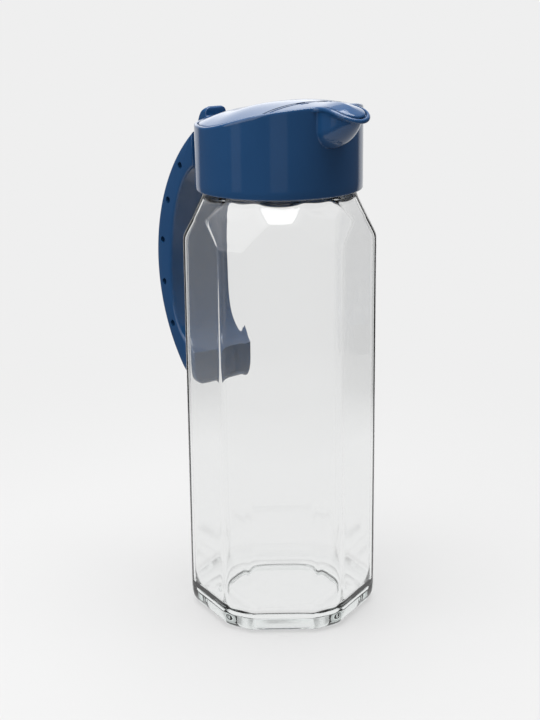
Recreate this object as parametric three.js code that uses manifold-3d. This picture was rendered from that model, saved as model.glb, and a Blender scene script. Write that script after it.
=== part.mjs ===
// Glass refrigerator jug with a screw-on plastic pouring head.
// Millimetres, +Z up, origin on the floor at the middle of the base.
// The spout points along +X and the handle along -X.

import * as THREE from 'three';
import { mergeVertices } from 'three/addons/utils/BufferGeometryUtils.js';
import { ConvexGeometry } from 'three/addons/geometries/ConvexGeometry.js';
import Module from 'manifold-3d';

const wasm = await Module();
wasm.setup();

// Glass jug: six wide faces with a narrow strip on each corner.
const acrossFaces = 89.4;
const stripProud = 2.8;
const glassTurn = 22;
const stripTop = 195.5;
const faceTopRise = 11.5;
const shoulderHeight = 22.5;
const shoulderFlat = 3.5;
const glassWall = 3.6;
const baseThickness = 9;
const heelHeight = 4;
const heelInset = 3;
const puntAcross = 57;
const puntDepth = 2.5;
const neckRadius = 38;
const finishInset = 2;
const neckWall = 6.5;
const neckHeight = 18;
const finishStep = 1.5;
const glassThreadRadius = 1;
const threadPitch = 5;
const threadTurns = 1.2;
const threadBelowRim = 11;

// Collar of the pouring head.
const collarClearance = 0.6;
const collarWall = 2.4;
const collarHeight = 31.9;
const rimRise = 11.3;
const lipDroop = 5;
const riseStart = -10.5;
const riseEndPast = 6.6;
const droopInset = 1;
const droopPower = 2.1;
const sealThickness = 1.6;
const sealInset = 0.7;
const sealOverhang = 0.5;
const webThickness = 2.2;
const webLedge = 2.5;
const chamberWall = 3.4;
const seatWall = 1.7;
const seatDepth = 1.2;
const collarThreadRadius = 0.9;

// Spout: a round-ended channel that grows out of the collar.
const spoutReach = 20.5;
const spoutHalfWidth = 10;
const spoutTipRadius = 9.5;
const spoutWall = 2.2;
const keelRise = 13.3;
const keelAboveWeb = 0.9;

// Lid cover, spout flap and their fits.
const lidGap = 0.6;
const lidThickness = 2.2;
const crownMiddle = 9;
const crownFront = 3.8;
const crownBack = 6;
const crownTurn = 10;
const crownPower = 3;
const seatGap = 0.2;
const seamGap = 1.4;
const seamCorner = 1.3;
const barrelGroove = 0.6;
const flapHingeBack = 14;
const flapBarrel = 2;
const flapBarrelHalf = 16.5;
const flapPinRadius = 0.9;
const knuckleInner = 5;
const knuckleOuter = 9.4;
const runningClearance = 0.08;
const sideClearance = 0.35;

// Thumb lever and the lid hinge behind the collar.
const lidPivotBehind = 5.2;
const lidPivotBelowRim = 3.7;
const lidBarrel = 2.6;
const lidPinRadius = 1.25;
const leverWidth = 13;
const leverCorner = 3;
const leverReach = 12.6;
const leverThickness = 7.6;
const leverHeight = 7.4;
const earThickness = 4.2;
const lidOpening = 48;
const leverRoom = 0.5;
const leverUnder = 2;

// Handle: a crescent on a block at the rear of the collar.
const bossDepth = 6.4;
const bossHalfWidth = 17.4;
const bossBottomRise = 8;
const bossTopRise = 25.2;
const handleWidth = 36;
const handleGap = 0.3;
const handleArcRadius = 86.1;
const handleArcAhead = 44.4;
const handleArcDrop = 44.9;
const handleWindowBehind = 28.5;
const footClearance = 2.5;
const footHeight = 21;
const dovetailDepth = 4;
const dovetailNeck = 10;
const dovetailHead = 14;
const dovetailHeight = 6.2;
const gripHoleRadius = 1.8;
const gripHoleDepth = 7;
const gripHoleInset = 5.3;
const gripHoleFirst = 39.2;
const gripHoleStep = 16.1;
const gripHoleCount = 5;

// Levels and radii that follow from the sizes above.
const faceApothem = acrossFaces / 2;
const stripApothem = faceApothem + stripProud;
const faceTop = stripTop + faceTopRise;
const collarBottom = stripTop + shoulderHeight;
const shoulderTop = collarBottom - shoulderFlat;
const neckTop = collarBottom + neckHeight;
const finishRadius = neckRadius - finishInset;
const neckBore = neckRadius - neckWall;
const sealInner = neckBore + sealInset;
const sealOuter = finishRadius + sealOverhang;
const webHole = neckBore - webLedge;
const collarBore = neckRadius + collarClearance;
const collarRadius = collarBore + collarWall;
const webUnder = neckTop + sealThickness;
const webTop = webUnder + webThickness;
const rimRear = collarBottom + collarHeight;
const rimFront = rimRear + rimRise;
const riseEnd = collarRadius + riseEndPast;
const droopStart = collarRadius - droopInset;
const flapHinge = collarRadius - flapHingeBack;
const chamberRadius = collarRadius - chamberWall;
const seatRadius = collarRadius - seatWall;
const lidRadius = seatRadius - lidGap;
const spoutTip = collarRadius + spoutReach;
const spoutTipCentre = spoutTip - spoutTipRadius;
const keelStart = webTop + keelAboveWeb;
const headTop = rimFront + crownMiddle + 10;
const lidPivotX = -(collarRadius + lidPivotBehind);
const lidPivotZ = rimRear - lidPivotBelowRim;
const bossRear = collarRadius + bossDepth;
const bossBottom = collarBottom + bossBottomRise;
const bossTop = collarBottom + bossTopRise;
const handleArcCentre = handleArcAhead - collarRadius;
const handleWindow = collarRadius + handleWindowBehind;
const leverHalf = leverWidth / 2;
const slotHalf = leverHalf + sideClearance;

const roundSegments = 60;
const smallSegments = 24;
const degree = Math.PI / 180;

// Solids from three.js geometry, and back again.
function solid(geometry) {
  const bare = geometry.index ? geometry.toNonIndexed() : geometry.clone();
  bare.deleteAttribute('normal');
  bare.deleteAttribute('uv');
  const merged = mergeVertices(bare, 1e-4);
  return new wasm.Manifold(new wasm.Mesh({
    numProp: 3,
    vertProperties: new Float32Array(merged.attributes.position.array),
    triVerts: new Uint32Array(merged.index.array),
  }));
}

function geometryOf(body) {
  const mesh = body.getMesh();
  const geometry = new THREE.BufferGeometry();
  geometry.setAttribute('position', new THREE.BufferAttribute(mesh.vertProperties, 3));
  geometry.setIndex(new THREE.BufferAttribute(mesh.triVerts, 1));
  geometry.computeVertexNormals();
  return geometry;
}

function cylinderZ(radius, low, high, segments = roundSegments) {
  const geometry = new THREE.CylinderGeometry(radius, radius, high - low, segments);
  geometry.rotateX(Math.PI / 2);
  geometry.translate(0, 0, (low + high) / 2);
  return solid(geometry);
}

function cylinderY(radius, x, z, low, high, segments = smallSegments) {
  const geometry = new THREE.CylinderGeometry(radius, radius, high - low, segments);
  geometry.translate(x, (low + high) / 2, z);
  return solid(geometry);
}

function block(x0, x1, y0, y1, z0, z1) {
  const geometry = new THREE.BoxGeometry(x1 - x0, y1 - y0, z1 - z0);
  geometry.translate((x0 + x1) / 2, (y0 + y1) / 2, (z0 + z1) / 2);
  return solid(geometry);
}

// A plan outline raised between two levels.
function raised(shape, low, high, curveSegments = 12) {
  const options = { depth: high - low, bevelEnabled: false, curveSegments };
  const geometry = new THREE.ExtrudeGeometry(shape, options);
  geometry.translate(0, 0, low);
  return solid(geometry);
}

// A side outline in X and Z, given a width across Y.
function acrossY(shape, low, high, curveSegments = 12) {
  const options = { depth: high - low, bevelEnabled: false, curveSegments };
  const geometry = new THREE.ExtrudeGeometry(shape, options);
  geometry.rotateX(Math.PI / 2);
  geometry.translate(0, high, 0);
  return solid(geometry);
}

function turned(points) {
  const profile = points.map(([radius, z]) => new THREE.Vector2(radius, z));
  const geometry = new THREE.LatheGeometry(profile, roundSegments);
  geometry.rotateX(Math.PI / 2);
  return solid(geometry);
}

// A round thread on a cylinder, as a tube along a helix.
class Helix extends THREE.Curve {
  constructor(radius, start, pitch, turns) {
    super();
    this.radius = radius;
    this.start = start;
    this.pitch = pitch;
    this.turns = turns;
  }

  getPoint(t, target = new THREE.Vector3()) {
    const angle = 2 * Math.PI * this.turns * t;
    const z = this.start + this.pitch * this.turns * t;
    return target.set(this.radius * Math.cos(angle), this.radius * Math.sin(angle), z);
  }
}

function thread(radius, start, bead) {
  const section = new THREE.Shape();
  section.absarc(0, 0, bead, 0, 2 * Math.PI);
  const path = new Helix(radius, start, threadPitch, threadTurns);
  const options = { steps: Math.round(roundSegments * threadTurns), extrudePath: path, curveSegments: 3 };
  return solid(new THREE.ExtrudeGeometry(section, options));
}

// Plan of the glass: six wide faces and six corner strips.
function glassPlan(face, strip) {
  const half = (strip - face * Math.cos(30 * degree)) / Math.sin(30 * degree);
  const points = [];
  for (let side = 0; side < 6; side += 1) {
    const angle = (glassTurn + 60 * side) * degree;
    for (const along of [-half, half]) {
      const x = face * Math.cos(angle) - along * Math.sin(angle);
      const y = face * Math.sin(angle) + along * Math.cos(angle);
      points.push(new THREE.Vector2(x, y));
    }
  }
  return new THREE.Shape(points);
}

// Six sloping planes round the axis, through two apothems.
function sixSlopes(lowApothem, highApothem, low, high, turn) {
  const corner = 1 / Math.cos(30 * degree);
  const geometry = new THREE.CylinderGeometry(highApothem * corner, lowApothem * corner, high - low, 6);
  geometry.rotateX(Math.PI / 2);
  geometry.rotateZ(turn * degree);
  geometry.translate(0, 0, (low + high) / 2);
  return solid(geometry);
}

// The faceted body, drawn in by the wall thickness for its inside.
function facetedBody(inset, floor, top) {
  const stripLean = (stripApothem - neckRadius) / (shoulderTop - stripTop);
  const faceLean = (faceApothem - neckRadius) / (shoulderTop - faceTop);
  let body = raised(glassPlan(faceApothem - inset, stripApothem - inset), floor, top);
  const slopes = [
    [stripApothem, stripLean, stripTop, glassTurn + 30],
    [faceApothem, faceLean, faceTop, glassTurn],
  ];
  for (const [apothem, lean, start, turn] of slopes) {
    const draw = inset * Math.hypot(1, lean);
    const low = apothem - draw + lean * (start - floor);
    const high = apothem - draw - lean * (top - start);
    body = body.intersect(sixSlopes(low, high, floor, top, turn));
    const heel = apothem - inset - heelInset;
    const heelLean = heelInset / heelHeight;
    body = body.intersect(sixSlopes(heel, heel + heelLean * (top - floor), floor, top, turn));
  }
  return body;
}

function glassJug() {
  const neck = turned([
    [0, faceTop - 5],
    [neckRadius, faceTop - 5],
    [neckRadius, collarBottom + finishStep],
    [finishRadius, collarBottom + finishStep],
    [finishRadius, neckTop - 1],
    [finishRadius - 1, neckTop],
    [0, neckTop],
  ]);
  const punt = sixSlopes(puntAcross / 2, puntAcross / 2 - puntDepth, 0, puntDepth, glassTurn);
  return facetedBody(0, 0, shoulderTop)
    .add(neck)
    .add(thread(finishRadius, neckTop - threadBelowRim, glassThreadRadius))
    .subtract(facetedBody(glassWall, baseThickness, shoulderTop + 1))
    .subtract(cylinderZ(neckBore, faceTop - 10, neckTop + 1))
    .subtract(punt);
}

// Height of the collar's rim, and of the lid edge beside it.
function rimTop(x) {
  const rise = rimRise * THREE.MathUtils.smoothstep(x, riseStart, riseEnd);
  const past = Math.max(0, x - droopStart) / (spoutTip - droopStart);
  return rimRear + rise - lipDroop * past ** droopPower;
}

// Everything under the rim, lowered by a given amount.
function underRim(drop) {
  const far = spoutTip + 10;
  const steps = 48;
  const points = [new THREE.Vector2(-far, collarBottom - 10)];
  for (let step = 0; step <= steps; step += 1) {
    const x = -far + (2 * far * step) / steps;
    points.push(new THREE.Vector2(x, rimTop(Math.min(x, spoutTip)) - drop));
  }
  points.push(new THREE.Vector2(far, collarBottom - 10));
  return acrossY(new THREE.Shape(points), -far, far);
}

// Plan of the spout channel, drawn in from its outer face.
function channelPlan(inset) {
  const half = spoutHalfWidth - inset;
  const tip = spoutTipRadius - inset;
  const shape = new THREE.Shape();
  shape.moveTo(0, -half);
  shape.lineTo(spoutTipCentre - 4, -half);
  shape.lineTo(spoutTipCentre, -tip);
  shape.absarc(spoutTipCentre, 0, tip, -Math.PI / 2, Math.PI / 2);
  shape.lineTo(spoutTipCentre - 4, half);
  shape.lineTo(0, half);
  return shape;
}

// The round-bottomed spout, as the hull of cross sections along its keel.
function spoutBody(inset) {
  const points = [];
  const start = chamberRadius - 8;
  const end = spoutTip - inset;
  const centre = spoutTipCentre;
  const stations = 9;
  for (let station = 0; station <= stations; station += 1) {
    const x = start + ((end - start) * station) / stations;
    const past = Math.max(0, x - centre) / (spoutTipRadius - inset);
    const half = (spoutHalfWidth - inset) * Math.sqrt(Math.max(0.02, 1 - past * past));
    const share = Math.max(0, (x - collarRadius) / spoutReach);
    const keel = keelStart + inset + keelRise * share ** 1.6;
    for (let turn = 0; turn <= 8; turn += 1) {
      const angle = (Math.PI * turn) / 8;
      const spring = keel + half;
      points.push(new THREE.Vector3(x, half * Math.cos(angle), spring - half * Math.sin(angle)));
    }
    points.push(new THREE.Vector3(x, half, headTop));
    points.push(new THREE.Vector3(x, -half, headTop));
  }
  return solid(new ConvexGeometry(points));
}

// A dovetail on the boss, and the same shape larger for the slot in the handle.
function dovetail(grow, low, high) {
  const back = -(bossRear + dovetailDepth + grow);
  const neck = dovetailNeck / 2 + grow;
  const head = dovetailHead / 2 + grow;
  const shape = new THREE.Shape();
  shape.moveTo(-bossRear + 1, -neck);
  shape.lineTo(-bossRear + 1, neck);
  shape.lineTo(-bossRear, neck);
  shape.lineTo(back, head);
  shape.lineTo(back, -head);
  shape.lineTo(-bossRear, -neck);
  return raised(shape, low, high);
}

function hingeEars() {
  let ears = null;
  for (const side of [-1, 1]) {
    const near = side * slotHalf;
    const far = side * (slotHalf + earThickness);
    const [low, high] = [Math.min(near, far), Math.max(near, far)];
    const round = cylinderY(lidBarrel, lidPivotX, lidPivotZ, low, high);
    const foot = block(-bossRear, lidPivotX + lidBarrel, low, high, bossTop - 4, lidPivotZ);
    const ear = round.add(foot);
    ears = ears ? ears.add(ear) : ear;
  }
  const hole = lidPinRadius + runningClearance;
  return ears.subtract(cylinderY(hole, lidPivotX, lidPivotZ, -bossHalfWidth, bossHalfWidth));
}

function spoutCollar() {
  const seatPlan = cylinderZ(seatRadius, webTop, headTop).add(raised(channelPlan(seatWall), webTop, headTop));
  const boss = block(-bossRear, -chamberRadius - 1, -bossHalfWidth, bossHalfWidth, bossBottom, bossTop)
    .subtract(cylinderY(lidBarrel + 2.4, lidPivotX, lidPivotZ, -slotHalf, slotHalf));
  return cylinderZ(collarRadius, collarBottom, headTop)
    .add(spoutBody(0))
    .intersect(underRim(0))
    .add(boss)
    .add(hingeEars())
    .add(dovetail(0, bossBottom + 1.5, bossBottom + 1.5 + dovetailHeight))
    .subtract(cylinderZ(collarBore, collarBottom - 1, webUnder))
    .subtract(cylinderZ(webHole, webUnder - 1, webTop + 1))
    .subtract(cylinderZ(chamberRadius, webTop, headTop).add(spoutBody(spoutWall)))
    .subtract(seatPlan.subtract(underRim(seatDepth)))
    .subtract(block(lidPivotX, -chamberRadius + 2, -slotHalf, slotHalf, lidPivotZ - lidBarrel - 0.6, headTop))
    .add(thread(collarBore, neckTop - threadBelowRim - threadPitch / 2, collarThreadRadius)
      .intersect(cylinderZ(collarBore + 1, collarBottom, webUnder)));
}

function neckSeal() {
  return cylinderZ(sealOuter, neckTop, webUnder).subtract(cylinderZ(sealInner, neckTop - 1, webUnder + 1));
}

// Depth of a point inside the lid's plan, blended where the channel meets the round.
function planDepth(x, y) {
  const round = lidRadius - Math.hypot(x, y);
  const beyond = Math.max(0, x - spoutTipCentre);
  const channel = spoutTipRadius - seatWall - lidGap - Math.hypot(beyond, y);
  const blend = 6;
  const mix = Math.max(blend - Math.abs(round - channel), 0) / blend;
  return Math.max(round, channel) + (mix * mix * blend) / 4;
}

// Top surface shared by the lid cover and the spout flap.
function lidTop(x, y) {
  const ahead = THREE.MathUtils.smoothstep(x, 0, droopStart);
  const behind = THREE.MathUtils.smoothstep(crownTurn - x, 0, crownTurn + lidRadius);
  const crown = crownMiddle + (crownFront - crownMiddle) * ahead + (crownBack - crownMiddle) * behind;
  const out = 1 - THREE.MathUtils.clamp(planDepth(x, y) / lidRadius, 0, 1);
  return rimTop(x) + crown * (1 - out ** crownPower);
}

// A domed plate over the lid's plan between two stations along X.
function domedPlate(start, end, thickness) {
  const length = end - start;
  const width = 2 * lidRadius + 4;
  const columns = Math.ceil(length / 4);
  const rows = 22;
  const geometry = new THREE.BoxGeometry(length, width, 2, columns, rows, 1);
  geometry.translate((start + end) / 2, 0, 0);
  const position = geometry.attributes.position;
  for (let i = 0; i < position.count; i += 1) {
    const x = position.getX(i);
    const y = position.getY(i);
    const top = lidTop(x, y);
    const edge = rimTop(x) - seatDepth + seatGap;
    const under = Math.max(edge, top - thickness);
    position.setZ(i, position.getZ(i) > 0 ? top : under);
  }
  const plan = cylinderZ(lidRadius, webTop, headTop)
    .add(raised(channelPlan(seatWall + lidGap), webTop, headTop));
  return solid(geometry).intersect(plan);
}

const flapPivotZ = lidTop(flapHinge, 0) - flapBarrel - 0.3;

// Rows of knuckles along the flap hinge, between pairs of distances from the middle.
function knuckles(radius, inner, outer) {
  if (inner === 0) {
    return cylinderY(radius, flapHinge, flapPivotZ, -outer, outer);
  }
  const left = cylinderY(radius, flapHinge, flapPivotZ, -outer, -inner);
  return left.add(cylinderY(radius, flapHinge, flapPivotZ, inner, outer));
}

// Side outline of the arm, barrel and thumb lever behind the lid.
function leverOutline() {
  const x = lidPivotX;
  const z = lidPivotZ;
  const front = x - leverReach + leverThickness;
  const back = x - leverReach;
  const shape = new THREE.Shape();
  shape.moveTo(-chamberRadius + 3, rimRear + 1.2);
  shape.lineTo(-lidRadius, rimRear - 0.4);
  shape.lineTo(-collarRadius, z + lidBarrel);
  shape.lineTo(front, z + lidBarrel);
  shape.lineTo(front, z + leverHeight - 1.5);
  shape.quadraticCurveTo(front, z + leverHeight, front - 1.4, z + leverHeight);
  shape.quadraticCurveTo(back + 1.8, z + leverHeight - 2.2, back, z - 0.5);
  shape.quadraticCurveTo(back, z - leverUnder, back + 1.5, z - leverUnder);
  shape.lineTo(x - lidBarrel, z - leverUnder);
  shape.absarc(x, z, lidBarrel, Math.PI + 0.9, 2 * Math.PI, false);
  shape.lineTo(-chamberRadius + 3, z);
  return shape;
}

function leverFace() {
  const top = lidPivotZ + leverHeight + 1;
  const low = lidPivotZ - lidBarrel - 2;
  const shape = new THREE.Shape();
  shape.moveTo(-leverHalf, low);
  shape.lineTo(leverHalf, low);
  shape.lineTo(leverHalf, top - 1 - leverCorner);
  shape.absarc(leverHalf - leverCorner, top - 1 - leverCorner, leverCorner, 0, Math.PI / 2, false);
  shape.lineTo(-leverHalf + leverCorner, top - 1);
  shape.absarc(-leverHalf + leverCorner, top - 1 - leverCorner, leverCorner, Math.PI / 2, Math.PI, false);
  const depth = 2 * leverReach + lidPivotBehind + chamberWall;
  const geometry = new THREE.ExtrudeGeometry(shape, { depth, bevelEnabled: false, curveSegments: 5 });
  geometry.rotateX(Math.PI / 2);
  geometry.rotateZ(Math.PI / 2);
  geometry.translate(-chamberRadius + 4 - depth, 0, 0);
  return solid(geometry);
}

function lidCover() {
  const edge = flapHinge - seamGap;
  const pocket = cylinderY(flapBarrel + sideClearance, flapHinge, flapPivotZ,
    -flapBarrelHalf - sideClearance, flapBarrelHalf + sideClearance);
  const groove = block(flapHinge - flapBarrel - barrelGroove, flapHinge,
    -flapBarrelHalf - sideClearance, flapBarrelHalf + sideClearance, flapPivotZ, headTop);
  const bridge = block(flapHinge - 7, flapHinge, -knuckleOuter, knuckleOuter,
    flapPivotZ - flapBarrel, flapPivotZ)
    .subtract(block(flapHinge - flapBarrel - sideClearance, flapHinge, -knuckleInner, knuckleInner,
      flapPivotZ - flapBarrel - 1, flapPivotZ + 1));
  const lever = acrossY(leverOutline(), -leverHalf, leverHalf).intersect(leverFace())
    .subtract(cylinderY(lidPinRadius + runningClearance, lidPivotX, lidPivotZ, -leverWidth, leverWidth));
  return domedPlate(-lidRadius - 1, edge, lidThickness)
    .subtract(pocket)
    .subtract(groove)
    .add(bridge)
    .add(knuckles(flapBarrel, knuckleInner, knuckleOuter))
    .subtract(knuckles(flapPinRadius + runningClearance, 0, knuckleOuter + 1))
    .add(lever);
}

function spoutFlap() {
  const gapInner = knuckleInner - sideClearance;
  const gapOuter = knuckleOuter + sideClearance;
  const reach = flapBarrel + sideClearance;
  const barrel = knuckles(flapBarrel, 0, flapBarrelHalf);
  const lugEnd = flapHinge + 2 * flapBarrel;
  const lug = domedPlate(flapHinge, lugEnd, lidThickness + flapBarrel)
    .intersect(block(flapHinge, lugEnd, -flapBarrelHalf, flapBarrelHalf, webTop, headTop));
  const corner = Math.sqrt(lidRadius ** 2 - flapHinge ** 2) - seamCorner;
  const middle = block(flapHinge - 1, spoutTip, -corner, corner, webTop, headTop);
  const ahead = block(flapHinge + seamCorner, spoutTip, -lidRadius, lidRadius, webTop, headTop);
  let gaps = null;
  for (const side of [-1, 1]) {
    const [low, high] = [side * gapInner, side * gapOuter].sort((a, b) => a - b);
    const gap = block(flapHinge - reach, flapHinge + reach, low, high, flapPivotZ - 4, flapPivotZ + 6);
    gaps = gaps ? gaps.add(gap) : gap;
  }
  return domedPlate(flapHinge, spoutTip, lidThickness)
    .intersect(middle.add(ahead))
    .add(lug)
    .add(barrel)
    .subtract(gaps)
    .subtract(knuckles(flapPinRadius + runningClearance, 0, flapBarrelHalf + 1));
}

// Side outline of the handle: outer arc, window for the fingers and the foot.
function handleOutline() {
  const centreZ = collarBottom - handleArcDrop;
  const arcAngle = (radius) => Math.acos((radius + handleArcCentre) / handleArcRadius);
  const start = bossRear + handleGap;
  const foot = stripApothem + footClearance;
  const windowTop = bossBottom - 1;
  const footTop = centreZ - Math.sin(arcAngle(foot)) * handleArcRadius + footHeight;
  const shape = new THREE.Shape();
  const upper = arcAngle(start);
  const lower = -arcAngle(foot + 1.5);
  shape.moveTo(-start, centreZ + handleArcRadius * Math.sin(upper));
  shape.absarc(handleArcCentre, centreZ, handleArcRadius, Math.PI - upper, Math.PI - lower, false);
  shape.lineTo(-foot, centreZ - handleArcRadius * Math.sin(arcAngle(foot)) + 2);
  shape.lineTo(-foot, footTop);
  shape.quadraticCurveTo(-handleWindow + 1.5, footTop + 6, -handleWindow - 0.7, centreZ - 15);
  shape.lineTo(-handleWindow, centreZ + 2);
  shape.quadraticCurveTo(-handleWindow + 3.5, windowTop - 11, -start, windowTop);
  return shape;
}

// Room above the handle for the thumb lever to swing down.
function leverSweep() {
  const under = leverUnder + leverRoom;
  const radius = Math.hypot(leverReach, leverUnder) + leverRoom;
  const opening = lidOpening * degree;
  const last = Math.PI + opening + Math.asin(under / radius);
  const shape = new THREE.Shape();
  shape.moveTo(lidPivotX, lidPivotZ + under);
  shape.absarc(lidPivotX, lidPivotZ, radius, Math.PI - 0.3, last, false);
  shape.lineTo(lidPivotX + under * Math.sin(opening), lidPivotZ - under * Math.cos(opening));
  return acrossY(shape, -slotHalf, slotHalf);
}

function handle() {
  const half = handleWidth / 2;
  const centreZ = collarBottom - handleArcDrop;
  let body = acrossY(handleOutline(), -half, half, 40)
    .subtract(leverSweep())
    .subtract(dovetail(handleGap, bossBottom - 3, bossBottom + 1.5 + dovetailHeight + handleGap));
  const radius = handleArcRadius - gripHoleInset;
  for (let hole = 0; hole < gripHoleCount; hole += 1) {
    const angle = (gripHoleFirst - gripHoleStep * hole) * degree;
    const x = handleArcCentre - radius * Math.cos(angle);
    const z = centreZ + radius * Math.sin(angle);
    body = body
      .subtract(cylinderY(gripHoleRadius, x, z, -half - 1, -half + gripHoleDepth, 16))
      .subtract(cylinderY(gripHoleRadius, x, z, half - gripHoleDepth, half + 1, 16));
  }
  return body;
}

const jug = new THREE.Group();

function place(name, body, colour, roughness, metalness, opacity = 1) {
  const material = new THREE.MeshStandardMaterial({ color: colour, roughness, metalness });
  material.transparent = opacity < 1;
  material.opacity = opacity;
  const mesh = new THREE.Mesh(geometryOf(body), material);
  mesh.name = name;
  jug.add(mesh);
}

const bluePlastic = 0x2b5280;
const earHalf = slotHalf + earThickness;

place('glass_jug', glassJug(), 0xe3ece8, 0.05, 0, 0.35);
place('neck_seal', neckSeal(), 0xe8e6e0, 0.6, 0);
place('spout_collar', spoutCollar(), bluePlastic, 0.25, 0);
place('handle', handle(), bluePlastic, 0.25, 0);
place('lid_cover', lidCover(), bluePlastic, 0.25, 0);
place('lid_hinge_pin', cylinderY(lidPinRadius, lidPivotX, lidPivotZ, -earHalf, earHalf), 0xb8bcc0, 0.3, 1);
place('spout_flap', spoutFlap(), bluePlastic, 0.25, 0);
place('flap_hinge_pin', knuckles(flapPinRadius, 0, knuckleOuter), 0xb8bcc0, 0.3, 1);

export default jug;
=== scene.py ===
import math

import bmesh
import bpy
from mathutils import Matrix, Vector


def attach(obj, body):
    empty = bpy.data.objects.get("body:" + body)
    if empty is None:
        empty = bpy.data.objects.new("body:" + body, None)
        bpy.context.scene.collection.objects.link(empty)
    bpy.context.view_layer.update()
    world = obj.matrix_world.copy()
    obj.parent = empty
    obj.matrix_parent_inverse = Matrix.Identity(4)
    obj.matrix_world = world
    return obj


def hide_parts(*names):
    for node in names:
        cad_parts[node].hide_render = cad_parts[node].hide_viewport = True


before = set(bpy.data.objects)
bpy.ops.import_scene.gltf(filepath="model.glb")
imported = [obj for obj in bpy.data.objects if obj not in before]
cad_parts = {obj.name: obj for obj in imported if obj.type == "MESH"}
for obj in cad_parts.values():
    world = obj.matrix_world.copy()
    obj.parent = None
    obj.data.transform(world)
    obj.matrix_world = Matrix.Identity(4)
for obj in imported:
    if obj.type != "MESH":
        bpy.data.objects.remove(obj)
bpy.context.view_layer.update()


# Glass jug: soda-lime glass, pressed and blown in a mould with six wide faces and
# a narrow strip on each corner. The wall is drawn in over a faceted shoulder to a
# round neck with a shallow thread, and the base has a six-sided push-up.
MM = 0.001  # meshes are drawn in millimetres and finished in metres
FACE, STRIP = 44.7, 47.5  # from the axis to the wide faces and to the strips
GLASS_TURN = 22.0  # degrees from the spout round to the nearest wide face
STRIP_TOP, FACE_TOP, SHOULDER_TOP = 195.5, 207.0, 214.5
NECK, FINISH, BORE, NECK_TOP = 38.0, 36.0, 31.5, 236.0
WALL, FLOOR, BOWL = 2.3, 5.2, 9.0  # the bowl is the round from wall to floor
HEEL, HEEL_DRAW = 9.0, 5.2  # height and inset of the rounded heel
STRAIGHT = 20  # a height where the wall is upright
PUSH_UP, PUSH_UP_CORNER, FOOT_RING = 28.5, 1.09, 31.5
OUTER_CORNER, INNER_CORNER = 2.6, 2.4  # sharpness of the edges between faces
THREAD_TURNS, THREAD_PITCH, THREAD_FADE = 1.2, 5.0, 0.06
SHADING_ANGLE = 38  # faces that meet at more degrees show an edge


def soft_min(values, sharpness):
    """The least of some values, rounded where two are alike."""
    least = min(values)
    return least - math.log(sum(math.exp(-sharpness * (v - least)) for v in values)) / sharpness


def soft_max(a, b, blend):
    """The greater of two values, rounded where they are within a blend."""
    mix = max(blend - abs(a - b), 0) / blend
    return max(a, b) + mix * mix * blend / 4


def glass_radius(angle, z, draw, sharpness):
    """Distance from the axis to the faceted wall, drawn in by a wall thickness."""
    heel = 0
    if z < HEEL:
        heel = HEEL_DRAW * (1 - math.sqrt(max(0, 1 - ((HEEL - z) / HEEL) ** 2)))
    strip_lean = (STRIP - NECK) / (SHOULDER_TOP - STRIP_TOP)
    face_lean = (FACE - NECK) / (SHOULDER_TOP - FACE_TOP)
    near_shoulder = z > STRIP_TOP - 12
    sides = []
    for side in range(12):
        wide = side % 2 == 0
        flat, lean, top = (FACE, face_lean, FACE_TOP) if wide else (STRIP, strip_lean, STRIP_TOP)
        turn = math.cos(angle - math.radians(GLASS_TURN + 30 * side))
        if turn < 0.5:
            continue
        sides.append((flat - draw - heel) / turn)
        if near_shoulder:
            slope = flat - draw * math.hypot(1, lean) - heel - lean * (z - top)
            sides.append(slope / turn)
    return soft_min(sides, sharpness)


def thread_height(angle, z, start, bead):
    """Height of a round helical thread at a point on the neck."""
    height = 0
    for turn in (0, 1):
        along = (angle % (2 * math.pi)) / (2 * math.pi) + turn
        if along > THREAD_TURNS:
            continue
        fade = min(1, along / THREAD_FADE, (THREAD_TURNS - along) / THREAD_FADE)
        off = (z - start - THREAD_PITCH * along) / (1.4 * bead)
        height = max(height, bead * fade * math.exp(-off * off * 1.6))
    return height


def spun(profile, steps, closed=False):
    """Spin a chain of (radius, z) points round the axis, numbered along the chain."""
    bm = bmesh.new()
    station = bm.verts.layers.int.new("station")
    chain = []
    for number, (radius, z) in enumerate(profile):
        vert = bm.verts.new((radius, 0, z))
        vert[station] = number
        chain.append(vert)
    pairs = list(zip(chain, chain[1:]))
    if closed:
        pairs.append((chain[-1], chain[0]))
    edges = [bm.edges.new(pair) for pair in pairs]
    bmesh.ops.spin(bm, geom=chain + edges, axis=(0, 0, 1), cent=(0, 0, 0), dvec=(0, 0, 0),
                   angle=2 * math.pi, steps=steps, use_merge=True)
    return bm, station


def finished(bm, name, sharp=SHADING_ANGLE):
    """Close the mesh, turn its faces outwards and make it an object in metres."""
    bmesh.ops.remove_doubles(bm, verts=bm.verts, dist=0.0005)
    bmesh.ops.recalc_face_normals(bm, faces=bm.faces)
    bmesh.ops.scale(bm, vec=(MM, MM, MM), verts=bm.verts)
    mesh = bpy.data.meshes.new(name)
    bm.to_mesh(mesh)
    bm.free()
    for polygon in mesh.polygons:
        polygon.use_smooth = True
    mesh.set_sharp_from_angle(angle=math.radians(sharp))
    piece = bpy.data.objects.new(name, mesh)
    bpy.context.collection.objects.link(piece)
    return piece


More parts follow.
